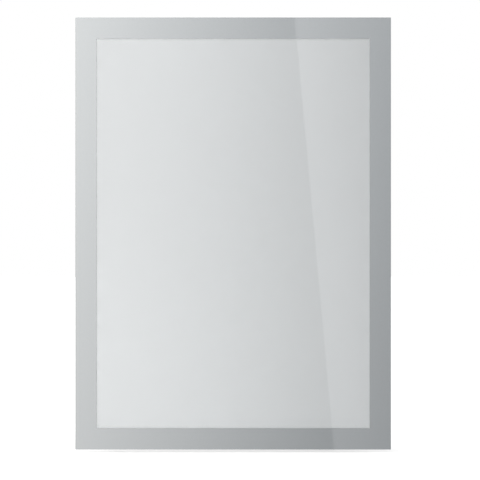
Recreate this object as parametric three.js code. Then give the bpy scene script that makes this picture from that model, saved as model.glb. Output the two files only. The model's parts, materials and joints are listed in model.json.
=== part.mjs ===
// Magnetic display frame for one sheet of paper.
// A clear window film with a silver border on its front forms a cover. It swings open on a folded hinge
// film along the left edge and closes on magnet ribbons. More ribbons on the back hold it to a steel board.
// Millimetres, +Z up, the front faces -Y. The origin is the middle of the top mounting magnet's back face.
import * as THREE from "three";

// Sheet that the frame displays (A4)
const sheetWidth = 210;
const sheetHeight = 297;
const sheetThickness = 0.1;

// Outline around the sheet
const sheetMargin = 13; // from the sheet's edge to the frame's outer edge
const borderOverlap = 3; // how far the silver border reaches over the sheet
const rearLip = 2; // how far the rear film reaches below the cover, for a finger to hold
const cornerRadius = 0.5; // die-cut outer corners of the films and the border

// Thickness of each layer
const mountMagnetThickness = 0.75;
const closureMagnetThickness = 0.6;
const rearFilmThickness = 0.3;
const windowFilmThickness = 0.3;
const borderThickness = 0.15;
const bondThickness = 0.1; // adhesive tapes and hinge film alike, so that all ribbons lie level

// Clearances
const sheetClearance = 1.25; // from the sheet's edge to the ribbons around it
const foldClearance = 0.05; // from the hinge fold to the frame's outer edge
const ribbonEndGap = 0.2; // from a cross ribbon's end to the ribbon beside it
const tapeInset = 0.5; // from a ribbon's edge to the edge of its tape

// Facets of a rounded corner and of the hinge fold
const cornerSegments = 6;
const foldSegments = 16;

// Outline and window, from the sheet
const frameWidth = sheetWidth + 2 * sheetMargin;
const frameHeight = sheetHeight + 2 * sheetMargin;
const windowWidth = sheetWidth - 2 * borderOverlap;
const windowHeight = sheetHeight - 2 * borderOverlap;

// Hinge fold, which wraps the edges of both closure ribbons
const foldInnerRadius = closureMagnetThickness;
const foldOuterRadius = foldInnerRadius + bondThickness;

// Ribbons, which fill the margin between the hinge fold and the sheet's pocket
const ribbonInset = foldOuterRadius + foldClearance;
const ribbonWidth = sheetMargin - sheetClearance - ribbonInset;
const ribbonSpanX = frameWidth - 2 * ribbonInset;
const ribbonSpanZ = frameHeight - 2 * ribbonInset;
const ribbonCentreX = (ribbonSpanX - ribbonWidth) / 2;
const ribbonCentreZ = (ribbonSpanZ - ribbonWidth) / 2;
const crossRibbonLength = ribbonSpanX - 2 * (ribbonWidth + ribbonEndGap);

// Back of each layer, counted from the board towards the viewer
const mountMagnetBack = 0;
const mountTapeBack = mountMagnetBack + mountMagnetThickness;
const rearFilmBack = mountTapeBack + bondThickness;
const rearTapeBack = rearFilmBack + rearFilmThickness;
const rearMagnetBack = rearTapeBack + bondThickness;
const partingPlane = rearMagnetBack + closureMagnetThickness;
const coverTapeBack = partingPlane + closureMagnetThickness;
const windowFilmBack = coverTapeBack + bondThickness;
const borderBack = windowFilmBack + windowFilmThickness;

// Line that the cover turns about: on the parting plane, one film thickness outside the left edge
const hingeX = -(frameWidth / 2 + bondThickness);
const hingeY = -partingPlane;

// The left and right ribbons run the full height, and the top and bottom ones fit between them
const ribbonSides = {
  left: { x: -ribbonCentreX, z: 0, width: ribbonWidth, height: ribbonSpanZ },
  right: { x: ribbonCentreX, z: 0, width: ribbonWidth, height: ribbonSpanZ },
  top: { x: 0, z: ribbonCentreZ, width: crossRibbonLength, height: ribbonWidth },
  bottom: { x: 0, z: -ribbonCentreZ, width: crossRibbonLength, height: ribbonWidth },
};

const finishes = {
  clearFilm: { color: "#e9eeee", roughness: 0.08, metalness: 0, transparent: true, opacity: 0.2 },
  silverFoil: { color: "#b9bec0", roughness: 0.4, metalness: 0.9 },
  magnetRubber: { color: "#3b3835", roughness: 0.8, metalness: 0 },
  adhesiveTape: { color: "#d9d6cc", roughness: 0.6, metalness: 0 },
  hingeFilm: { color: "#dfe4e4", roughness: 0.3, metalness: 0, transparent: true, opacity: 0.5 },
  paper: { color: "#eef0f0", roughness: 0.85, metalness: 0 },
};

function piece(name, geometry, finish) {
  const mesh = new THREE.Mesh(geometry, new THREE.MeshStandardMaterial(finish));
  mesh.name = name;
  return mesh;
}

// Upright rectangle with round corners, centred on the frame
function roundedRectangle(width, height, radius) {
  const right = width / 2 - radius;
  const top = height / 2 - radius;
  const shape = new THREE.Shape();
  shape.absarc(right, top, radius, 0, Math.PI / 2, false);
  shape.absarc(-right, top, radius, Math.PI / 2, Math.PI, false);
  shape.absarc(-right, -top, radius, Math.PI, 1.5 * Math.PI, false);
  shape.absarc(right, -top, radius, 1.5 * Math.PI, 2 * Math.PI, false);
  shape.closePath();
  return shape;
}

// Rectangular opening, centred on the frame
function rectangularHole(width, height) {
  const hole = new THREE.Path();
  hole.moveTo(-width / 2, -height / 2);
  hole.lineTo(-width / 2, height / 2);
  hole.lineTo(width / 2, height / 2);
  hole.lineTo(width / 2, -height / 2);
  hole.closePath();
  return hole;
}

// Flat sheet parallel to the board, cut to an upright outline
function panel(name, outline, back, thickness, finish) {
  const geometry = new THREE.ExtrudeGeometry(outline, {
    depth: thickness,
    bevelEnabled: false,
    curveSegments: cornerSegments,
  });
  geometry.rotateX(Math.PI / 2);
  const mesh = piece(name, geometry, finish);
  mesh.position.y = -back;
  return mesh;
}

// Straight strip on one side of the frame, drawn in by an inset from the ribbon's own outline
function strip(name, side, inset, back, thickness, finish) {
  const { x, z, width, height } = ribbonSides[side];
  const geometry = new THREE.BoxGeometry(width - 2 * inset, thickness, height - 2 * inset);
  const mesh = piece(name, geometry, finish);
  mesh.position.set(x, -(back + thickness / 2), z);
  return mesh;
}

function magnetStrips(group, sides, back, thickness) {
  return sides.map((side) => strip(`${group}_${side}`, side, 0, back, thickness, finishes.magnetRubber));
}

function tapeStrips(group, sides, back) {
  return sides.map((side) => {
    return strip(`${group}_${side}`, side, tapeInset, back, bondThickness, finishes.adhesiveTape);
  });
}

// Hairpin strip: a leaf on the rear film, a half-round fold, and a leaf behind the window film
function hingeFilm() {
  const foldX = -ribbonSpanX / 2;
  const leafEndX = foldX + ribbonWidth - tapeInset;
  const profile = new THREE.Shape();
  profile.moveTo(leafEndX, hingeY + foldOuterRadius);
  profile.absarc(foldX, hingeY, foldOuterRadius, Math.PI / 2, 1.5 * Math.PI, false);
  profile.lineTo(leafEndX, hingeY - foldOuterRadius);
  profile.lineTo(leafEndX, hingeY - foldInnerRadius);
  profile.absarc(foldX, hingeY, foldInnerRadius, 1.5 * Math.PI, Math.PI / 2, true);
  profile.lineTo(leafEndX, hingeY + foldInnerRadius);
  profile.closePath();
  const geometry = new THREE.ExtrudeGeometry(profile, {
    depth: ribbonSpanZ,
    bevelEnabled: false,
    curveSegments: foldSegments,
  });
  const mesh = piece("hinge_film", geometry, finishes.hingeFilm);
  mesh.position.z = -ribbonSpanZ / 2;
  return mesh;
}

// Rear film, whose lip below the cover is held back while the cover is pulled open
function rearFilm() {
  const outline = roundedRectangle(frameWidth, frameHeight + rearLip, cornerRadius);
  const mesh = panel("rear_film", outline, rearFilmBack, rearFilmThickness, finishes.clearFilm);
  mesh.position.z = -rearLip / 2;
  return mesh;
}

function insertSheet() {
  const geometry = new THREE.BoxGeometry(sheetWidth, sheetThickness, sheetHeight);
  const mesh = piece("insert_sheet", geometry, finishes.paper);
  mesh.position.y = -(rearTapeBack + sheetThickness / 2);
  return mesh;
}

function silverBorder() {
  const outline = roundedRectangle(frameWidth, frameHeight, cornerRadius);
  outline.holes.push(rectangularHole(windowWidth, windowHeight));
  return panel("silver_border", outline, borderBack, borderThickness, finishes.silverFoil);
}

const allSides = ["left", "right", "top", "bottom"];
const tapedSides = ["right", "top", "bottom"]; // the hinge film's leaves bond the left ribbons
const windowFilmOutline = roundedRectangle(frameWidth, frameHeight, cornerRadius);

// Rear panel, which stays on the board
const rearPanel = new THREE.Group();
rearPanel.add(
  ...magnetStrips("mount_magnet", allSides, mountMagnetBack, mountMagnetThickness),
  ...tapeStrips("mount_tape", allSides, mountTapeBack),
  rearFilm(),
  ...tapeStrips("rear_tape", tapedSides, rearTapeBack),
  ...magnetStrips("rear_magnet", allSides, rearMagnetBack, closureMagnetThickness),
  hingeFilm(),
  insertSheet(),
);

// Cover, whose group turns about the hinge line: a negative rotation about Z opens it
const coverPieces = new THREE.Group();
coverPieces.position.set(-hingeX, -hingeY, 0);
coverPieces.add(
  ...magnetStrips("cover_magnet", allSides, partingPlane, closureMagnetThickness),
  ...tapeStrips("cover_tape", tapedSides, coverTapeBack),
  panel("window_film", windowFilmOutline, windowFilmBack, windowFilmThickness, finishes.clearFilm),
  silverBorder(),
);
const cover = new THREE.Group();
cover.position.set(hingeX, hingeY, 0);
cover.add(coverPieces);

const displayFrame = new THREE.Group();
displayFrame.position.z = -ribbonCentreZ;
displayFrame.add(rearPanel, cover);

export default displayFrame;
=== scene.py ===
"""Looks of a magnetic display frame: clear films, a satin silver border, magnet ribbons and a blank sheet."""

import json
import math

import bmesh
import bpy
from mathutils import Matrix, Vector

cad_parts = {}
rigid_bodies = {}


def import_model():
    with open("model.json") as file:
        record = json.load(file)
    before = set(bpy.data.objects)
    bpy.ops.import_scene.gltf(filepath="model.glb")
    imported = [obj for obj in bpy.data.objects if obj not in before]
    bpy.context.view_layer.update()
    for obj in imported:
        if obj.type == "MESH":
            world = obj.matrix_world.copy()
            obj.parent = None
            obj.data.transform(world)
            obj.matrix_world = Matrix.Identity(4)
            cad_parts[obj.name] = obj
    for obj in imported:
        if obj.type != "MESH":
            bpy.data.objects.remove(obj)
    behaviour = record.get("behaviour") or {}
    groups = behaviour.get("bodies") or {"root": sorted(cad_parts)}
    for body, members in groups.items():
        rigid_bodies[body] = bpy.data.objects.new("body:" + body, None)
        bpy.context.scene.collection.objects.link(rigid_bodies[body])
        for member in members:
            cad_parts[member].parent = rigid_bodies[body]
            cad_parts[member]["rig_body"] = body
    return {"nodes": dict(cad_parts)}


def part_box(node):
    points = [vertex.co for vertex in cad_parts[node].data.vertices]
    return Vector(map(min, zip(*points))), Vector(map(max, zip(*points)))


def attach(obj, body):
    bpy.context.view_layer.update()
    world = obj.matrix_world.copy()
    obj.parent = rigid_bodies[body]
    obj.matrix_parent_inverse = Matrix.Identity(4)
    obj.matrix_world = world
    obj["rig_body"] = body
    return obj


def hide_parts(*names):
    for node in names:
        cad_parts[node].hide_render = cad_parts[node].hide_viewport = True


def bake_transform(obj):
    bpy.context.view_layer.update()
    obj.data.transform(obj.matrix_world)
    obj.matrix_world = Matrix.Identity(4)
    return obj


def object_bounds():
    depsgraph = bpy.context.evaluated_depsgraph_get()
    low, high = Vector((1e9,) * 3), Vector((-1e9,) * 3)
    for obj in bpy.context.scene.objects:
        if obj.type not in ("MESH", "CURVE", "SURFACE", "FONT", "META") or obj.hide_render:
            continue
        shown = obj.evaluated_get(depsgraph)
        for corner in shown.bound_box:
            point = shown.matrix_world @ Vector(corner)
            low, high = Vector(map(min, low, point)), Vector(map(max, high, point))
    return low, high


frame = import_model()
CAD_LOW, CAD_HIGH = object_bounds()

bl_info = {
    "name": "Magnetic display frame",
    "version": (1, 0, 0),
    "blender": (4, 5, 0),
    "location": "View3D > Sidebar > Display Frame",
    "description": "Builds the visible pieces of a magnetic display frame and a plain studio around it",
    "category": "Object",
}

MM = 0.001

# Clear films, each with the CAD node that it replaces
CLEAR_FILMS = (("window_sheet", "window_film"), ("rear_sheet", "rear_film"))

# Groups of magnet ribbons, each with whether its bare face looks back, and the sides that each has
RIBBON_GROUPS = (("mount", True), ("rear", False), ("cover", True))
SIDES = ("left", "right", "top", "bottom")
UPRIGHT_SIDES = ("left", "right")

# Fineness of the meshes
CORNER_STEPS = 6  # round a die-cut corner
CUT_EDGE_STEPS = 3  # over a quarter turn of a die-cut edge
RIBBON_EDGE_STEPS = 3  # over a quarter turn of a ribbon's edge
SHEET_COLUMNS = 60
SHEET_ROWS = 80
FOLD_STEPS = 24  # round the hinge film's fold
LEAF_STEPS = 6  # along one of the hinge film's leaves
HINGE_ROWS = 60

# Small shapes and the shading of faces
SMALLEST_RADIUS = 0.01 * MM  # of a corner that is drawn in by its whole radius
ROLLER_LINE_SLOPE = 3  # half-width of a roller line over its depth
WAVE_SLANT = 0.4  # how far the sheet's waves lean across for each step up
SHARP_ANGLE = math.radians(40)  # edges between faces that turn by more stay sharp
FLAT_FACE = 1 - 1e-7  # a face whose normal lies along Y by at least this much is shaded flat
SILVER_FACE = 0.9  # a border face whose normal points to the front by more than this is silver

# Photograph: its width in pixels, what one pixel measures on the frame's front, and the frame's middle
PHOTO_PIXELS = 480
PIXEL_SIZE = 0.7474 * MM
PHOTO_MIDDLE = (233.15, 233.5)
# Ends of the straight glare edge over the front, in pixels
GLARE_TOP = (294.8, 18.0)
GLARE_BOTTOM = (334.1, 449.0)

PVC_INDEX = 1.53  # refractive index

# Range that the values of a noise pattern mostly fill
NOISE_RANGE = {"From Min": 0.3, "From Max": 0.7}

# Corners of the floor and of the light panel, as shares of their reach
SQUARE_CORNERS = ((-1, -1), (1, -1), (1, 1), (-1, 1))

# Floor in metres, with an oval round the frame's foot that keeps the shadow
FLOOR_REACH = 4.0
FLOOR_GLOW = 1.45  # over 1, so that it stays white where it is mixed with the dull floor
SHADOW_OVAL = (0.22, 0.1)  # half-width and half-depth
SHADOW_FADE_START = 0.4  # share of the oval from which on the shadow fades
SHADOW_SHARE = 0.6  # share of the dull floor in the oval's middle

# Light panel behind the camera: places in metres from the camera's axis, and levels where 1 is white
PANEL_AWAY = 1.2  # from the frame's front
PANEL_REACH = 2.5
# Places across the panel, each followed by the level there
PANEL_FAR_LEFT = -1.0
PANEL_FAR_LEVEL = 1.0
PANEL_BRIGHTEST = -0.56
PANEL_BRIGHT_LEVEL = 3.23
PANEL_DARKEST = 0.3
PANEL_DARK_LEVEL = 0.12
# Height above and below the axis that the panel is shaded over, and the share of the level at either end
PANEL_SHADED_HEIGHT = 0.8
PANEL_LOW_SHARE = 0.75
PANEL_HIGH_SHARE = 1.19
# What the level gains to the right of the glare edge
GLARE_STEP = 0.77

# Lamps: place and target from the border's middle, width and height, in metres, and whether gloss mirrors it
LAMPS = (
    ("key", (-0.12, -0.3, 0.156), (0.08, 0, 0), (0.15, 0.62), False),
    ("low", (-0.08, -0.21, -0.133), (0, 0, -0.16), (0.3, 0.04), False),
    ("back", (0.3, 1.4, 0.5), (0, 0, 0), (1.6, 1.6), True),
    ("top", (-0.5, -0.05, 1.5), (0, 0, 0), (0.15, 0.15), True),
)


def linear(hex_colour):
    """An sRGB hex colour as linear red, green and blue."""
    channels = [int(hex_colour[i : i + 2], 16) / 255 for i in (1, 3, 5)]
    return tuple(c / 12.92 if c <= 0.04045 else ((c + 0.055) / 1.055) ** 2.4 for c in channels)


class DisplayFrameSizes(bpy.types.PropertyGroup):
    """Sizes of the fine shapes that the solids leave plain"""

    border_overlap: bpy.props.FloatProperty(
        name="Border overlap",
        description="How far the silver border reaches over the sheet's edge",
        default=3 * MM,
        unit="LENGTH",
        precision=5,
    )
    corner_radius: bpy.props.FloatProperty(
        name="Corner radius",
        description="Outer corner of the die-cut films and border",
        default=0.5 * MM,
        unit="LENGTH",
        precision=5,
    )
    cut_radius: bpy.props.FloatProperty(
        name="Cut edge radius",
        description="Rounding of a die-cut film or foil edge",
        default=0.05 * MM,
        unit="LENGTH",
        precision=5,
    )
    bond_line: bpy.props.FloatProperty(
        name="Bond line",
        description="Gap between a clear film's face and what is bonded to it",
        default=0.02 * MM,
        unit="LENGTH",
        precision=5,
    )
    ribbon_radius: bpy.props.FloatProperty(
        name="Ribbon edge radius",
        description="Rounding of a magnet ribbon's slit edges",
        default=0.15 * MM,
        unit="LENGTH",
        precision=5,
    )
    ribbon_line_pitch: bpy.props.FloatProperty(
        name="Ribbon line pitch",
        description="Spacing of the lines that the rollers leave along a magnet ribbon",
        default=1.1 * MM,
        unit="LENGTH",
        precision=5,
    )
    ribbon_line_depth: bpy.props.FloatProperty(
        name="Ribbon line depth",
        description="Depth of the lines along a magnet ribbon",
        default=0.04 * MM,
        unit="LENGTH",
        precision=5,
    )
    sheet_curl: bpy.props.FloatProperty(
        name="Sheet curl",
        description="How far the loose sheet's edges curl forward off the rear film",
        default=1.2 * MM,
        unit="LENGTH",
        precision=5,
    )
    sheet_cockle: bpy.props.FloatProperty(
        name="Sheet cockle",
        description="Height of the slow waves in the sheet",
        default=0.03 * MM,
        unit="LENGTH",
        precision=5,
    )
    sheet_wave: bpy.props.FloatProperty(
        name="Sheet wave",
        description="Length of the slow waves in the sheet",
        default=70 * MM,
        unit="LENGTH",
        precision=5,
    )


class DisplayFrameColours(bpy.types.PropertyGroup):
    """Colours of the materials"""

    silver: bpy.props.FloatVectorProperty(
        name="Silver foil",
        description="Metal face of the border",
        default=linear("#8D9193"),
        subtype="COLOR",
    )
    foil_core: bpy.props.FloatVectorProperty(
        name="Foil core",
        description="White plastic of the border's cut edges and back",
        default=linear("#E4E5E3"),
        subtype="COLOR",
    )
    film: bpy.props.FloatVectorProperty(
        name="Clear film",
        description="Faint tint of a clear film",
        default=linear("#FEFEFE"),
        subtype="COLOR",
    )
    hinge: bpy.props.FloatVectorProperty(
        name="Hinge film",
        description="Milky soft film of the hinge",
        default=linear("#DDE2E2"),
        subtype="COLOR",
    )
    magnet: bpy.props.FloatVectorProperty(
        name="Magnet rubber",
        description="Ferrite-filled rubber of the ribbons",
        default=linear("#3A3734"),
        subtype="COLOR",
    )
    magnet_dust: bpy.props.FloatVectorProperty(
        name="Magnet dust",
        description="Pale specks of powder in the ribbons' surface",
        default=linear("#8A847B"),
        subtype="COLOR",
    )
    tape: bpy.props.FloatVectorProperty(
        name="Adhesive tape",
        description="Acrylic adhesive under the ribbons",
        default=linear("#D8D4C8"),
        subtype="COLOR",
    )
    paper: bpy.props.FloatVectorProperty(
        name="Paper",
        description="Blank sheet in the window",
        default=linear("#E6E9EA"),
        subtype="COLOR",
    )
    panel_left: bpy.props.FloatVectorProperty(
        name="Light panel, left",
        description="Warm white of the light panel's left side",
        default=linear("#FFFCF9"),
        subtype="COLOR",
    )
    panel_right: bpy.props.FloatVectorProperty(
        name="Light panel, right",
        description="Cool white of the light panel's right side",
        default=linear("#FCFDFF"),
        subtype="COLOR",
    )
    floor: bpy.props.FloatVectorProperty(
        name="Floor",
        description="Plain pale floor",
        default=linear("#F2F2F2"),
        subtype="COLOR",
    )


class DisplayFrameStudio(bpy.types.PropertyGroup):
    """Camera and light of the studio"""

    lens: bpy.props.FloatProperty(
        name="Lens",
        description="Focal length of the camera, in millimetres",
        default=85.0,
        unit="CAMERA",
    )
    key_power: bpy.props.FloatProperty(
        name="Key light",
        description="Tall soft lamp in front, a little to the left",
        default=0.81,
        unit="POWER",
    )
    low_power: bpy.props.FloatProperty(
        name="Low light",
        description="Low strip lamp in front of the frame's foot",
        default=0.07,
        unit="POWER",
    )
    back_power: bpy.props.FloatProperty(
        name="Back light",
        description="Soft lamp behind the frame, for its rear side",
        default=9.0,
        unit="POWER",
    )
    top_power: bpy.props.FloatProperty(
        name="Top light",
        description="Small lamp high above on the left, for the shadow behind the frame's foot",
        default=12.0,
        unit="POWER",
    )
    ambient: bpy.props.FloatProperty(
        name="Ambient light",
        description="Even light from all round, as a share of the backdrop's white",
        default=0.15,
        subtype="FACTOR",
    )


def sizes():
    """Sizes that are set in the scene."""
    return bpy.context.scene.display_frame_sizes


def colours():
    """Colours that are set in the scene."""
    return bpy.context.scene.display_frame_colours


def studio():
    """Camera and light values that are set in the scene."""
    return bpy.context.scene.display_frame_studio


# Mesh tools


def loft(name, rings, joined=False):
    """A closed mesh through rings with equally many points, capped at both ends or joined into a loop."""
    count = len(rings[0])
    faces = []
    for i in range(len(rings) if joined else len(rings) - 1):
        low = i * count
        high = (i + 1) % len(rings) * count
        for j in range(count):
            k = (j + 1) % count
            faces.append((low + j, low + k, high + k, high + j))
    if not joined:
        faces.append(range(count))
        faces.append(range((len(rings) - 1) * count, len(rings) * count))
    mesh = bpy.data.meshes.new(name)
    mesh.from_pydata([point for ring in rings for point in ring], [], faces)
    shaped = bmesh.new()
    shaped.from_mesh(mesh)
    bmesh.ops.recalc_face_normals(shaped, faces=shaped.faces)
    shaped.to_mesh(mesh)
    shaped.free()
    mesh.set_sharp_from_angle(angle=SHARP_ANGLE)
    # Faces parallel to the board stay flat beside their rounded edges
    mesh.polygons.foreach_set("use_smooth", [abs(face.normal.y) < FLAT_FACE for face in mesh.polygons])
    piece = bpy.data.objects.new(name, mesh)
    bpy.context.scene.collection.objects.link(piece)
    return piece


def finish_piece(piece, node, slot, *materials):
    """Gives a piece its materials, and puts it in the place and on the body of its CAD node."""
    for material in materials:
        piece.data.materials.append(material)
    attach(piece, frame["nodes"][node]["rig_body"])
    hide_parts(node)


def quarter_turn(steps):
    """Angles of a quarter turn from 0, in equal steps."""
    return [math.radians(90) * step / steps for step in range(steps + 1)]


def rounded_ring(low, high, inset, radius, y):
    """Upright rounded rectangle at depth y, drawn in from the box by an inset."""
    radius = max(radius - inset, SMALLEST_RADIUS)
    left = low.x + inset + radius
    right = high.x - inset - radius
    bottom = low.z + inset + radius
    top = high.z - inset - radius
    corners = ((right, top), (left, top), (left, bottom), (right, bottom))
    ring = []
    for quarter, (x, z) in enumerate(corners):
        for turn in quarter_turn(CORNER_STEPS):
            angle = math.radians(90) * quarter + turn
            ring.append(Vector((x + radius * math.cos(angle), y, z + radius * math.sin(angle))))
    return ring


def cut_edge(back, front, radius):
    """Rounded edge of a sheet from its back face to its front face, as pairs of inset and depth."""
    behind = []
    for turn in quarter_turn(CUT_EDGE_STEPS):
        behind.append((radius * (1 - math.sin(turn)), back - radius * (1 - math.cos(turn))))
    ahead = [(inset, front + back - y) for inset, y in reversed(behind)]
    return behind + ahead


def clear_sheet(name, node):
    """A die-cut clear film with rounded edges, thinner than its solid by the bond lines."""
    low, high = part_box(node)
    back = high.y - sizes().bond_line
    front = low.y + sizes().bond_line
    edge = cut_edge(back, front, sizes().cut_radius)
    return loft(name, [rounded_ring(low, high, inset, sizes().corner_radius, y) for inset, y in edge])


def border_frame(name, node):
    """The die-cut border: its outer edge, its front, the window's edge and its back, in one loop."""
    low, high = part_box(node)
    sheet_low, sheet_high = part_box("insert_sheet")
    overlap = Vector((sizes().border_overlap, 0, sizes().border_overlap))
    window_low = sheet_low + overlap
    window_high = sheet_high - overlap
    edge = cut_edge(high.y, low.y, sizes().cut_radius)
    outer = [rounded_ring(low, high, inset, sizes().corner_radius, y) for inset, y in edge]
    inner = [rounded_ring(window_low, window_high, -inset, 0, y) for inset, y in reversed(edge)]
    return loft(name, outer + inner, joined=True)


def ribbon_profile(width, bonded, exposed):
    """Section of a ribbon as pairs of offset and depth, with shallow roller lines on its exposed face."""
    radius = sizes().ribbon_radius
    outward = math.copysign(1, exposed - bonded)
    half = width / 2
    profile = []
    # Each corner with the angle that its rounding starts from
    corners = ((half, bonded, 270), (half, exposed, 0), (-half, exposed, 90), (-half, bonded, 180))
    for x, y, start in corners:
        centre_x = x - math.copysign(radius, x)
        centre_y = y + (radius if y == bonded else -radius) * outward
        for turn in quarter_turn(RIBBON_EDGE_STEPS):
            angle = math.radians(start) + turn
            offset = centre_x + radius * math.cos(angle)
            depth = centre_y + radius * math.sin(angle) * outward
            profile.append((offset, depth))
        # The exposed face runs from the corner at its right to the one at its left
        if (x, y) == (half, exposed):
            profile += roller_lines(half - radius, exposed, -outward)
    return profile


def roller_lines(half, face, inward):
    """Shallow notches across a ribbon's face, from its right edge to its left edge."""
    pitch = sizes().ribbon_line_pitch
    depth = sizes().ribbon_line_depth
    half_line = ROLLER_LINE_SLOPE * depth
    count = int(2 * half / pitch)
    notches = []
    for i in range(count):
        middle = (count - 1) * pitch / 2 - i * pitch
        for offset, sink in ((half_line, 0), (0, depth), (-half_line, 0)):
            notches.append((middle + offset, face + sink * inward))
    return notches


def magnet_ribbon(name, node, side, exposed_back):
    """A straight magnet ribbon with rounded edges and ends and its roller lines."""
    low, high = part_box(node)
    middle = (low + high) / 2
    upright = side in UPRIGHT_SIDES
    length = (high.z - low.z) if upright else (high.x - low.x)
    width = (high.x - low.x) if upright else (high.z - low.z)
    bonded, exposed = (low.y, high.y) if exposed_back else (high.y, low.y)
    profile = ribbon_profile(width, bonded, exposed)
    radius = sizes().ribbon_radius
    end = length / 2
    # Places along the ribbon, each with how far the section is drawn in there
    stations = ((-end, radius), (radius - end, 0), (end - radius, 0), (end, radius))
    rings = []
    for along, inset in stations:
        ring = []
        for across, y in profile:
            across = max(min(across, width / 2 - inset), inset - width / 2)
            y = max(min(y, high.y - inset), low.y + inset)
            x, z = (across, along) if upright else (along, across)
            ring.append(Vector((middle.x + x, y, middle.z + z)))
        rings.append(ring)
    return loft(name, rings)


def paper_sheet(name, node):
    """The loose sheet: its middle lies on the rear film, with slow waves, and its edges curl forward."""
    low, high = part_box(node)
    middle = (low + high) / 2
    half = high - middle
    overlap = sizes().border_overlap
    rings = []
    for row in range(SHEET_ROWS + 1):
        z = low.z + (high.z - low.z) * row / SHEET_ROWS
        front = []
        back = []
        for column in range(SHEET_COLUMNS + 1):
            x = low.x + (high.x - low.x) * column / SHEET_COLUMNS
            across = min(abs(x - middle.x) / (half.x - overlap), 1)
            along = min(abs(z - middle.z) / (half.z - overlap), 1)
            edge = 1 - (1 - across**2) * (1 - along**2)
            wave = 1 + math.sin(math.tau * (x + WAVE_SLANT * z) / sizes().sheet_wave)
            lift = edge * sizes().sheet_curl + (1 - edge) * sizes().sheet_cockle * wave
            front.append(Vector((x, low.y - lift, z)))
            back.append(Vector((x, high.y - lift, z)))
        rings.append(front + back[::-1])
    return loft(name, rings)


def hinge_strip(name, node):
    """The folded hinge film as a fine hairpin sweep, with its share of the fold stored on each point, and the
    two ends of its fold, on the rear leaf and on the cover's leaf."""
    low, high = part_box(node)
    ribbon_low, ribbon_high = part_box("rear_magnet_left")
    centre_y = ribbon_low.y
    fold_x = ribbon_low.x
    inner = ribbon_high.y - ribbon_low.y
    outer = fold_x - low.x
    turns = [math.radians(90 + 180 * step / FOLD_STEPS) for step in range(FOLD_STEPS + 1)]
    leaf = [high.x + (fold_x - high.x) * step / LEAF_STEPS for step in range(LEAF_STEPS)]
    profile = []
    folds = []
    for radius, order in ((outer, 1), (inner, -1)):
        line = [(x, centre_y + radius, 0) for x in leaf]
        for turn in turns:
            x = fold_x + radius * math.cos(turn)
            y = centre_y + radius * math.sin(turn)
            line.append((x, y, -math.cos(turn)))
        line += [(x, centre_y - radius, 0) for x in reversed(leaf)]
        for x, y, fold in line[::order]:
            profile.append((x, y))
            folds.append(fold)
    rings = []
    for row in range(HINGE_ROWS + 1):
        z = low.z + (high.z - low.z) * row / HINGE_ROWS
        rings.append([Vector((x, y, z)) for x, y in profile])
    piece = loft(name, rings)
    piece.data.attributes.new("fold", "FLOAT", "POINT").data.foreach_set("value", folds * len(rings))
    return piece, Vector((fold_x, centre_y + inner, 0)), Vector((fold_x, centre_y - inner, 0))


# Materials


def add_node(tree, kind, values=None, links=None, **settings):
    """Adds a node with its settings, its socket values and the links into it."""
    node = tree.nodes.new(kind)
    for name, value in settings.items():
        setattr(node, name, value)
    for socket, value in (values or {}).items():
        node.inputs[socket].default_value = value
    for socket, source in (links or {}).items():
        tree.links.new(source, node.inputs[socket])
    return node


def new_material(name):
    """A node material with an empty tree, and the tree."""
    material = bpy.data.materials.new(name)
    material.use_nodes = True
    material.node_tree.nodes.clear()
    return material, material.node_tree


def satin_silver_foil():
    """Metallised foil, calendered satin under clear gloss polyester: a soft metal sheen that fades with the
    light's direction, a faint grain of flakes, and sharp reflections in the polyester on top."""
    flake_size = 0.8 * MM  # flakes are about 0.1 mm, drawn coarser so that they show
    flake_relief = 0.01 * MM
    gloss_index = 1.84  # polyester's is 1.64, raised to the gloss that the border shows
    material, tree = new_material("satin_silver_foil")
    place = add_node(tree, "ShaderNodeTexCoord")
    flakes = add_node(
        tree,
        "ShaderNodeTexNoise",
        {"Scale": 1 / flake_size, "Detail": 3.0, "Roughness": 0.6},
        {"Vector": place.outputs["Object"]},
    )
    tone = add_node(
        tree,
        "ShaderNodeMapRange",
        {**NOISE_RANGE, "To Min": 0.97, "To Max": 1.03},
        {"Value": flakes.outputs["Fac"]},
    )
    colour = add_node(
        tree,
        "ShaderNodeMix",
        {"Factor": 1.0, "A": (*colours().silver, 1)},
        {"B": tone.outputs["Result"]},
        data_type="RGBA",
        blend_type="MULTIPLY",
    )
    sheen = add_node(
        tree,
        "ShaderNodeMapRange",
        {**NOISE_RANGE, "To Min": 0.38, "To Max": 0.44},
        {"Value": flakes.outputs["Fac"]},
    )
    grain = add_node(
        tree,
        "ShaderNodeBump",
        {"Strength": 0.15, "Distance": flake_relief},
        {"Height": flakes.outputs["Fac"]},
    )
    surface = add_node(
        tree,
        "ShaderNodeBsdfPrincipled",
        {"Metallic": 1.0, "Coat Weight": 1.0, "Coat Roughness": 0.03, "Coat IOR": gloss_index},
        {
            "Base Color": colour.outputs["Result"],
            "Roughness": sheen.outputs["Result"],
            "Normal": grain.outputs["Normal"],
        },
    )
    add_node(tree, "ShaderNodeOutputMaterial", links={"Surface": surface.outputs["BSDF"]})
    return material


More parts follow.
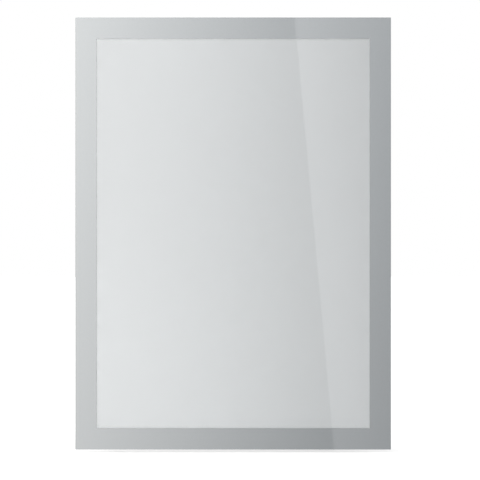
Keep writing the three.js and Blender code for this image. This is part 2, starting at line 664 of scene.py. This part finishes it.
def white_pvc_core():
    """Filled white PVC of the foil's cut edges and back: matt and even, with a faint mottle."""
    mottle_size = 3 * MM
    material, tree = new_material("white_pvc_core")
    place = add_node(tree, "ShaderNodeTexCoord")
    mottle = add_node(
        tree,
        "ShaderNodeTexNoise",
        {"Scale": 1 / mottle_size, "Detail": 2.0},
        {"Vector": place.outputs["Object"]},
    )
    rough = add_node(
        tree,
        "ShaderNodeMapRange",
        {"To Min": 0.5, "To Max": 0.65},
        {"Value": mottle.outputs["Fac"]},
    )
    surface = add_node(
        tree,
        "ShaderNodeBsdfPrincipled",
        {"Base Color": (*colours().foil_core, 1), "IOR": PVC_INDEX},
        {"Roughness": rough.outputs["Result"]},
    )
    add_node(tree, "ShaderNodeOutputMaterial", links={"Surface": surface.outputs["BSDF"]})
    return material


def clear_pvc_film():
    """Clear hard PVC film, press polished: nearly invisible face on, with mirror-like reflections that grow
    towards a grazing view. Its slow waviness bends them a little."""
    wave_length = 60 * MM
    wave_height = 0.01 * MM
    material, tree = new_material("clear_pvc_film")
    place = add_node(tree, "ShaderNodeTexCoord")
    waves = add_node(
        tree,
        "ShaderNodeTexNoise",
        {"Scale": 1 / wave_length, "Detail": 1.0},
        {"Vector": place.outputs["Object"]},
    )
    bend = add_node(
        tree,
        "ShaderNodeBump",
        {"Strength": 1.0, "Distance": wave_height},
        {"Height": waves.outputs["Fac"]},
    )
    # Both faces reflect as seen from the air, so the far face has the inverse index
    side = add_node(tree, "ShaderNodeNewGeometry")
    index = add_node(
        tree,
        "ShaderNodeMapRange",
        {"To Min": PVC_INDEX, "To Max": 1 / PVC_INDEX},
        {"Value": side.outputs["Backfacing"]},
    )
    share = add_node(tree, "ShaderNodeFresnel", links={"IOR": index.outputs["Result"]})
    through = add_node(tree, "ShaderNodeBsdfTransparent", {"Color": (*colours().film, 1)})
    gloss = add_node(
        tree,
        "ShaderNodeBsdfGlossy",
        {"Color": (1, 1, 1, 1), "Roughness": 0.02},
        {"Normal": bend.outputs["Normal"]},
    )
    surface = add_node(
        tree,
        "ShaderNodeMixShader",
        links={0: share.outputs["Fac"], 1: through.outputs["BSDF"], 2: gloss.outputs["BSDF"]},
    )
    add_node(tree, "ShaderNodeOutputMaterial", links={"Surface": surface.outputs["Shader"]})
    return material


def soft_pvc_hinge_film():
    """Soft PVC film, embossed matt: milky and half clear, whiter where the fold has stretched it."""
    emboss_size = 0.6 * MM
    emboss_depth = 0.02 * MM
    material, tree = new_material("soft_pvc_hinge_film")
    place = add_node(tree, "ShaderNodeTexCoord")
    emboss = add_node(
        tree,
        "ShaderNodeTexNoise",
        {"Scale": 1 / emboss_size, "Detail": 2.0},
        {"Vector": place.outputs["Object"]},
    )
    grain = add_node(
        tree,
        "ShaderNodeBump",
        {"Strength": 0.2, "Distance": emboss_depth},
        {"Height": emboss.outputs["Fac"]},
    )
    fold = add_node(tree, "ShaderNodeAttribute", attribute_name="fold")
    milky = add_node(
        tree,
        "ShaderNodeMapRange",
        {"To Min": 0.35, "To Max": 0.7},
        {"Value": fold.outputs["Fac"]},
    )
    through = add_node(tree, "ShaderNodeBsdfTransparent", {"Color": (*colours().film, 1)})
    body = add_node(
        tree,
        "ShaderNodeBsdfPrincipled",
        {"Base Color": (*colours().hinge, 1), "Roughness": 0.35, "IOR": PVC_INDEX},
        {"Normal": grain.outputs["Normal"]},
    )
    surface = add_node(
        tree,
        "ShaderNodeMixShader",
        links={0: milky.outputs["Result"], 1: through.outputs["BSDF"], 2: body.outputs["BSDF"]},
    )
    add_node(tree, "ShaderNodeOutputMaterial", links={"Surface": surface.outputs["Shader"]})
    return material


def ferrite_rubber():
    """Ferrite powder in rubber, rolled into sheet and slit: dark, dull and dusty, with pale specks."""
    mottle_size = 9 * MM
    speck_size = 0.3 * MM  # powder grains are under 0.01 mm, drawn as clumps so that they show
    speck_relief = 0.03 * MM
    material, tree = new_material("ferrite_rubber")
    place = add_node(tree, "ShaderNodeTexCoord")
    mottle = add_node(
        tree,
        "ShaderNodeTexNoise",
        {"Scale": 1 / mottle_size, "Detail": 5.0, "Roughness": 0.65},
        {"Vector": place.outputs["Object"]},
    )
    specks = add_node(
        tree,
        "ShaderNodeTexNoise",
        {"Scale": 1 / speck_size, "Detail": 3.0, "Roughness": 0.7},
        {"Vector": place.outputs["Object"]},
    )
    tone = add_node(
        tree,
        "ShaderNodeMapRange",
        {"From Min": 0.35, "From Max": 0.65, "To Min": 0.65, "To Max": 1.5},
        {"Value": mottle.outputs["Fac"]},
    )
    rubber = add_node(
        tree,
        "ShaderNodeMix",
        {"Factor": 1.0, "A": (*colours().magnet, 1)},
        {"B": tone.outputs["Result"]},
        data_type="RGBA",
        blend_type="MULTIPLY",
    )
    # Only the noise's upper values show as dust
    dust = add_node(
        tree,
        "ShaderNodeMapRange",
        {"From Min": 0.5, "From Max": 0.8, "To Min": 0.0, "To Max": 0.3},
        {"Value": specks.outputs["Fac"]},
    )
    colour = add_node(
        tree,
        "ShaderNodeMix",
        {"B": (*colours().magnet_dust, 1)},
        {"Factor": dust.outputs["Result"], "A": rubber.outputs["Result"]},
        data_type="RGBA",
    )
    rough = add_node(
        tree,
        "ShaderNodeMapRange",
        {**NOISE_RANGE, "To Min": 0.55, "To Max": 0.75},
        {"Value": mottle.outputs["Fac"]},
    )
    grain = add_node(
        tree,
        "ShaderNodeBump",
        {"Strength": 0.35, "Distance": speck_relief},
        {"Height": specks.outputs["Fac"]},
    )
    surface = add_node(
        tree,
        "ShaderNodeBsdfPrincipled",
        {"IOR": 1.5},
        {
            "Base Color": colour.outputs["Result"],
            "Roughness": rough.outputs["Result"],
            "Normal": grain.outputs["Normal"],
        },
    )
    add_node(tree, "ShaderNodeOutputMaterial", links={"Surface": surface.outputs["BSDF"]})
    return material


def acrylic_adhesive():
    """Acrylic transfer adhesive, coated and rolled: warm, cloudy and tacky, with small trapped bubbles."""
    bubble_spacing = 1.5 * MM
    material, tree = new_material("acrylic_adhesive")
    place = add_node(tree, "ShaderNodeTexCoord")
    bubbles = add_node(
        tree,
        "ShaderNodeTexVoronoi",
        {"Scale": 1 / bubble_spacing},
        {"Vector": place.outputs["Object"]},
    )
    cloud = add_node(
        tree,
        "ShaderNodeMapRange",
        {"From Max": 0.6, "To Min": 0.88, "To Max": 1.0},
        {"Value": bubbles.outputs["Distance"]},
    )
    colour = add_node(
        tree,
        "ShaderNodeMix",
        {"Factor": 1.0, "A": (*colours().tape, 1)},
        {"B": cloud.outputs["Result"]},
        data_type="RGBA",
        blend_type="MULTIPLY",
    )
    surface = add_node(
        tree,
        "ShaderNodeBsdfPrincipled",
        {"Roughness": 0.45, "IOR": 1.47},
        {"Base Color": colour.outputs["Result"]},
    )
    add_node(tree, "ShaderNodeOutputMaterial", links={"Surface": surface.outputs["BSDF"]})
    return material


def uncoated_paper():
    """Uncoated office paper, felted from wood fibre: matt, cool white and cloudy, with a fine tooth."""
    cloud_size = 6 * MM
    fibre_width = 0.7 * MM  # fibres are about 0.03 mm wide, drawn coarser so that they show
    fibre_relief = 0.02 * MM
    material, tree = new_material("uncoated_paper")
    place = add_node(tree, "ShaderNodeTexCoord")
    cloud = add_node(
        tree,
        "ShaderNodeTexNoise",
        {"Scale": 1 / cloud_size, "Detail": 4.0},
        {"Vector": place.outputs["Object"]},
    )
    fibres = add_node(
        tree,
        "ShaderNodeTexNoise",
        {"Scale": 1 / fibre_width, "Detail": 3.0},
        {"Vector": place.outputs["Object"]},
    )
    tone = add_node(
        tree,
        "ShaderNodeMapRange",
        {**NOISE_RANGE, "To Min": 0.99, "To Max": 1.01},
        {"Value": cloud.outputs["Fac"]},
    )
    colour = add_node(
        tree,
        "ShaderNodeMix",
        {"Factor": 1.0, "A": (*colours().paper, 1)},
        {"B": tone.outputs["Result"]},
        data_type="RGBA",
        blend_type="MULTIPLY",
    )
    tooth = add_node(
        tree,
        "ShaderNodeBump",
        {"Strength": 0.1, "Distance": fibre_relief},
        {"Height": fibres.outputs["Fac"]},
    )
    surface = add_node(
        tree,
        "ShaderNodeBsdfPrincipled",
        {"Roughness": 0.85, "IOR": 1.5},
        {"Base Color": colour.outputs["Result"], "Normal": tooth.outputs["Normal"]},
    )
    add_node(tree, "ShaderNodeOutputMaterial", links={"Surface": surface.outputs["BSDF"]})
    return material


# Stage


def front_point(pixel):
    """Place on the frame's front, measured across and up from the camera's axis, that a pixel shows."""
    return (pixel[0] - PHOTO_PIXELS / 2) * PIXEL_SIZE, (PHOTO_PIXELS / 2 - pixel[1]) * PIXEL_SIZE


def border_middle():
    """Middle of the silver border, which the photograph's scale and middle are measured on."""
    low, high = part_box("silver_border")
    return (low + high) / 2


def camera_axis():
    """Where the camera's axis meets the frame's front."""
    across, up = front_point(PHOTO_MIDDLE)
    middle = border_middle()
    return Vector((middle.x - across, CAD_LOW.y, middle.z - up))


def camera_distance():
    """From the camera to the frame's front, so that the front has the photograph's scale."""
    camera = bpy.context.scene.camera.data
    return PHOTO_PIXELS * PIXEL_SIZE * camera.lens / camera.sensor_width


def add_camera():
    """The camera, which looks squarely at the front as the photograph does."""
    camera = bpy.data.cameras.new("photo_camera")
    camera.lens = studio().lens
    holder = bpy.data.objects.new("photo_camera", camera)
    bpy.context.scene.collection.objects.link(holder)
    bpy.context.scene.camera = holder
    holder.location = camera_axis() + Vector((0, -camera_distance(), 0))
    holder.rotation_euler = (math.radians(90), 0, 0)


def add_lamps():
    """The soft lamps, which the camera does not see."""
    middle = border_middle()
    for name, place, target, (width, height), mirrored in LAMPS:
        lamp = bpy.data.lights.new(f"{name}_light", "AREA")
        lamp.shape = "RECTANGLE"
        lamp.size = width
        lamp.size_y = height
        lamp.energy = getattr(studio(), f"{name}_power")
        holder = bpy.data.objects.new(lamp.name, lamp)
        holder.location = middle + Vector(place)
        holder.rotation_euler = (Vector(target) - Vector(place)).to_track_quat("-Z", "Y").to_euler()
        holder.visible_camera = False
        holder.visible_glossy = mirrored
        bpy.context.scene.collection.objects.link(holder)


def seen_rays(tree):
    """One for rays that see the backdrop, from the camera or through gloss and glass, and else zero."""
    path = add_node(tree, "ShaderNodeLightPath")
    mirrored = add_node(
        tree,
        "ShaderNodeMath",
        links={0: path.outputs["Is Glossy Ray"], 1: path.outputs["Is Transmission Ray"]},
        operation="MAXIMUM",
    )
    seen = add_node(
        tree,
        "ShaderNodeMath",
        links={0: path.outputs["Is Camera Ray"], 1: mirrored.outputs["Value"]},
        operation="MAXIMUM",
    )
    return seen.outputs["Value"]


def add_backdrop():
    """White all round to the eye and in reflections, and a plain even light on what is dull."""
    world = bpy.data.worlds.new("white_backdrop")
    world.use_nodes = True
    tree = world.node_tree
    tree.nodes.clear()
    light = add_node(tree, "ShaderNodeBackground", {"Color": (1, 1, 1, 1), "Strength": studio().ambient})
    white = add_node(tree, "ShaderNodeBackground", {"Color": (1, 1, 1, 1), "Strength": 1.0})
    both = add_node(
        tree,
        "ShaderNodeMixShader",
        links={0: seen_rays(tree), 1: light.outputs["Background"], 2: white.outputs["Background"]},
    )
    add_node(tree, "ShaderNodeOutputWorld", links={"Surface": both.outputs["Shader"]})
    bpy.context.scene.world = world


def pale_floor():
    """Matt pale floor that keeps the frame's shadow near its foot and fades into the white further out."""
    material, tree = new_material("pale_floor")
    dull = add_node(tree, "ShaderNodeBsdfDiffuse", {"Color": (*colours().floor, 1)})
    white = add_node(tree, "ShaderNodeEmission", {"Strength": FLOOR_GLOW})
    place = add_node(tree, "ShaderNodeTexCoord")
    half_width, half_depth = SHADOW_OVAL
    oval = add_node(
        tree,
        "ShaderNodeVectorMath",
        {1: (1 / half_width, 1 / half_depth, 0)},
        {0: place.outputs["Object"]},
        operation="MULTIPLY",
    )
    away = add_node(tree, "ShaderNodeVectorMath", links={0: oval.outputs["Vector"]}, operation="LENGTH")
    shade = add_node(
        tree,
        "ShaderNodeMapRange",
        {"From Min": SHADOW_FADE_START, "From Max": 1.0, "To Min": SHADOW_SHARE, "To Max": 0.0},
        {"Value": away.outputs["Value"]},
    )
    lit = add_node(
        tree,
        "ShaderNodeMixShader",
        links={0: shade.outputs["Result"], 1: white.outputs["Emission"], 2: dull.outputs["BSDF"]},
    )
    both = add_node(
        tree,
        "ShaderNodeMixShader",
        links={0: seen_rays(tree), 1: dull.outputs["BSDF"], 2: lit.outputs["Shader"]},
    )
    add_node(tree, "ShaderNodeOutputMaterial", links={"Surface": both.outputs["Shader"]})
    return material


def panel_sideways(tree, across, fall):
    """Level of the light panel from side to side: it falls to the right and, far out, to the left."""
    dimming = add_node(
        tree,
        "ShaderNodeMapRange",
        {"To Min": PANEL_BRIGHT_LEVEL, "To Max": PANEL_DARK_LEVEL},
        {"Value": fall},
    )
    # The far left is no brighter than the backdrop, so that the silver stays grey in a view from the right
    rise = add_node(
        tree,
        "ShaderNodeMapRange",
        {
            "From Min": PANEL_FAR_LEFT,
            "From Max": PANEL_BRIGHTEST,
            "To Min": PANEL_FAR_LEVEL,
            "To Max": PANEL_BRIGHT_LEVEL,
        },
        {"Value": across},
    )
    sideways = add_node(
        tree,
        "ShaderNodeMath",
        links={0: rise.outputs["Result"], 1: dimming.outputs["Result"]},
        operation="MINIMUM",
    )
    return sideways.outputs["Value"]


def panel_past_glare(tree, axes, spread):
    """One to the right of the light panel's straight edge, which the film mirrors, and zero to its left."""
    top_x, top_z = (value * spread for value in front_point(GLARE_TOP))
    bottom_x, bottom_z = (value * spread for value in front_point(GLARE_BOTTOM))
    edge = add_node(
        tree,
        "ShaderNodeMapRange",
        {"From Min": bottom_z, "From Max": top_z, "To Min": bottom_x, "To Max": top_x},
        {"Value": axes.outputs["Z"]},
        clamp=False,
    )
    past = add_node(
        tree,
        "ShaderNodeMath",
        links={0: axes.outputs["X"], 1: edge.outputs["Result"]},
        operation="GREATER_THAN",
    )
    return past.outputs["Value"]


def graded_light_panel():
    """Glow that is brightest on the left and at the top, with one straight step that the film mirrors."""
    # A mirrored stretch of the panel is this many times as long as the stretch of the front that shows it
    spread = 1 + PANEL_AWAY / camera_distance()
    material, tree = new_material("graded_light_panel")
    place = add_node(tree, "ShaderNodeTexCoord")
    axes = add_node(tree, "ShaderNodeSeparateXYZ", links={"Vector": place.outputs["Object"]})
    fall = add_node(
        tree,
        "ShaderNodeMapRange",
        {"From Min": PANEL_BRIGHTEST, "From Max": PANEL_DARKEST},
        {"Value": axes.outputs["X"]},
    )
    upward = add_node(
        tree,
        "ShaderNodeMapRange",
        {
            "From Min": -PANEL_SHADED_HEIGHT,
            "From Max": PANEL_SHADED_HEIGHT,
            "To Min": PANEL_LOW_SHARE,
            "To Max": PANEL_HIGH_SHARE,
        },
        {"Value": axes.outputs["Z"]},
    )
    stepped = add_node(
        tree,
        "ShaderNodeMath",
        {1: GLARE_STEP},
        {
            0: panel_past_glare(tree, axes, spread),
            2: panel_sideways(tree, axes.outputs["X"], fall.outputs["Result"]),
        },
        operation="MULTIPLY_ADD",
    )
    level = add_node(
        tree,
        "ShaderNodeMath",
        links={0: stepped.outputs["Value"], 1: upward.outputs["Result"]},
        operation="MULTIPLY",
    )
    colour = add_node(
        tree,
        "ShaderNodeMix",
        {"A": (*colours().panel_left, 1), "B": (*colours().panel_right, 1)},
        {"Factor": fall.outputs["Result"]},
        data_type="RGBA",
    )
    glow = add_node(
        tree,
        "ShaderNodeEmission",
        links={"Color": colour.outputs["Result"], "Strength": level.outputs["Value"]},
    )
    add_node(tree, "ShaderNodeOutputMaterial", links={"Surface": glow.outputs["Emission"]})
    return material


def stage_plane(name, corners, material):
    """A flat piece of the stage, whose glow is seen and mirrored but is no lamp."""
    mesh = bpy.data.meshes.new(name)
    mesh.from_pydata(corners, [], [range(len(corners))])
    mesh.materials.append(material)
    material.cycles.emission_sampling = "NONE"
    holder = bpy.data.objects.new(name, mesh)
    bpy.context.scene.collection.objects.link(holder)
    return holder


def add_floor():
    """The floor under the frame, left out of reflections."""
    corners = [(x * FLOOR_REACH, y * FLOOR_REACH, 0) for x, y in SQUARE_CORNERS]
    floor = stage_plane("pale_floor", corners, pale_floor())
    middle = border_middle()
    floor.location = (middle.x, middle.y, CAD_LOW.z)
    floor.visible_glossy = False


def add_light_panel():
    """The panel that the film and the silver mirror, seen in reflections alone."""
    corners = [(x * PANEL_REACH, 0, z * PANEL_REACH) for x, z in SQUARE_CORNERS]
    panel = stage_plane("light_panel", corners, graded_light_panel())
    panel.location = camera_axis() + Vector((0, -PANEL_AWAY, 0))
    panel.visible_camera = False
    panel.visible_diffuse = False
    panel.visible_shadow = False


# Operators


class DISPLAYFRAME_OT_stage(bpy.types.Operator):
    """Set up the camera, the backdrop, the floor and the lights"""

    bl_idname = "displayframe.stage"
    bl_label = "Stage"

    def execute(self, context):
        context.scene.view_settings.view_transform = "Standard"
        add_camera()
        add_backdrop()
        add_floor()
        add_light_panel()
        add_lamps()
        return {"FINISHED"}


class DISPLAYFRAME_OT_insert_sheet(bpy.types.Operator):
    """Build the blank paper sheet"""

    bl_idname = "displayframe.insert_sheet"
    bl_label = "Insert sheet"

    def execute(self, context):
        finish_piece(paper_sheet("blank_paper", "insert_sheet"), "insert_sheet", "paper", uncoated_paper())
        return {"FINISHED"}


class DISPLAYFRAME_OT_clear_films(bpy.types.Operator):
    """Build the clear window film and the clear rear film"""

    bl_idname = "displayframe.clear_films"
    bl_label = "Clear films"

    def execute(self, context):
        material = clear_pvc_film()
        for name, node in CLEAR_FILMS:
            finish_piece(clear_sheet(name, node), node, "clear_film", material)
        return {"FINISHED"}


class DISPLAYFRAME_OT_silver_border(bpy.types.Operator):
    """Build the die-cut silver border with its white core"""

    bl_idname = "displayframe.silver_border"
    bl_label = "Silver border"

    def execute(self, context):
        piece = border_frame("silver_foil_border", "silver_border")
        finish_piece(piece, "silver_border", "silver_foil", satin_silver_foil(), white_pvc_core())
        for polygon in piece.data.polygons:
            polygon.material_index = 0 if polygon.normal.y < -SILVER_FACE else 1
        return {"FINISHED"}


class DISPLAYFRAME_OT_magnet_ribbons(bpy.types.Operator):
    """Build the mounting, rear and cover magnet ribbons"""

    bl_idname = "displayframe.magnet_ribbons"
    bl_label = "Magnet ribbons"

    def execute(self, context):
        material = ferrite_rubber()
        for group, exposed_back in RIBBON_GROUPS:
            for side in SIDES:
                node = f"{group}_magnet_{side}"
                piece = magnet_ribbon(f"{group}_ribbon_{side}", node, side, exposed_back)
                finish_piece(piece, node, "magnet_rubber", material)
        return {"FINISHED"}


class DISPLAYFRAME_OT_adhesive_tapes(bpy.types.Operator):
    """Give the adhesive tapes their material"""

    bl_idname = "displayframe.adhesive_tapes"
    bl_label = "Adhesive tapes"

    def execute(self, context):
        material = acrylic_adhesive()
        for name, node in frame["nodes"].items():
            if "_tape_" in name:
                node.data.materials.clear()
                node.data.materials.append(material)
        return {"FINISHED"}


class DISPLAYFRAME_OT_hinge_film(bpy.types.Operator):
    """Build the folded hinge film between the rear panel and the cover"""

    bl_idname = "displayframe.hinge_film"
    bl_label = "Hinge film"

    def execute(self, context):
        piece, start, end = hinge_strip("folded_hinge_strip", "hinge_film")
        piece.data.materials.append(soft_pvc_hinge_film())
        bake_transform(piece)
        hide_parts("hinge_film")
        return {"FINISHED"}


class DISPLAYFRAME_PT_panel(bpy.types.Panel):
    """Sizes, colours and pieces of the display frame"""

    bl_idname = "DISPLAYFRAME_PT_panel"
    bl_label = "Display Frame"
    bl_space_type = "VIEW_3D"
    bl_region_type = "UI"
    bl_category = "Display Frame"

    def draw(self, context):
        for group in (sizes(), colours(), studio()):
            box = self.layout.box()
            for name in group.__annotations__:
                box.prop(group, name)
        for operator in OPERATORS:
            self.layout.operator(operator.bl_idname)


GROUPS = {
    "display_frame_sizes": DisplayFrameSizes,
    "display_frame_colours": DisplayFrameColours,
    "display_frame_studio": DisplayFrameStudio,
}
OPERATORS = (
    DISPLAYFRAME_OT_stage,
    DISPLAYFRAME_OT_insert_sheet,
    DISPLAYFRAME_OT_clear_films,
    DISPLAYFRAME_OT_silver_border,
    DISPLAYFRAME_OT_magnet_ribbons,
    DISPLAYFRAME_OT_adhesive_tapes,
    DISPLAYFRAME_OT_hinge_film,
)


def register():
    """Adds the property groups to the scene, and the operators and the panel to Blender."""
    for name, group in GROUPS.items():
        bpy.utils.register_class(group)
        setattr(bpy.types.Scene, name, bpy.props.PointerProperty(type=group))
    for item in (*OPERATORS, DISPLAYFRAME_PT_panel):
        bpy.utils.register_class(item)


def unregister():
    """Takes away what register adds, in the reverse order."""
    for item in (DISPLAYFRAME_PT_panel, *reversed(OPERATORS)):
        bpy.utils.unregister_class(item)
    for name, group in reversed(GROUPS.items()):
        delattr(bpy.types.Scene, name)
        bpy.utils.unregister_class(group)


def main():
    """Builds the stage and every piece."""
    register()
    bpy.ops.displayframe.stage()
    bpy.ops.displayframe.insert_sheet()
    bpy.ops.displayframe.clear_films()
    bpy.ops.displayframe.silver_border()
    bpy.ops.displayframe.magnet_ribbons()
    bpy.ops.displayframe.adhesive_tapes()
    bpy.ops.displayframe.hinge_film()


if __name__ == "__main__":
    main()
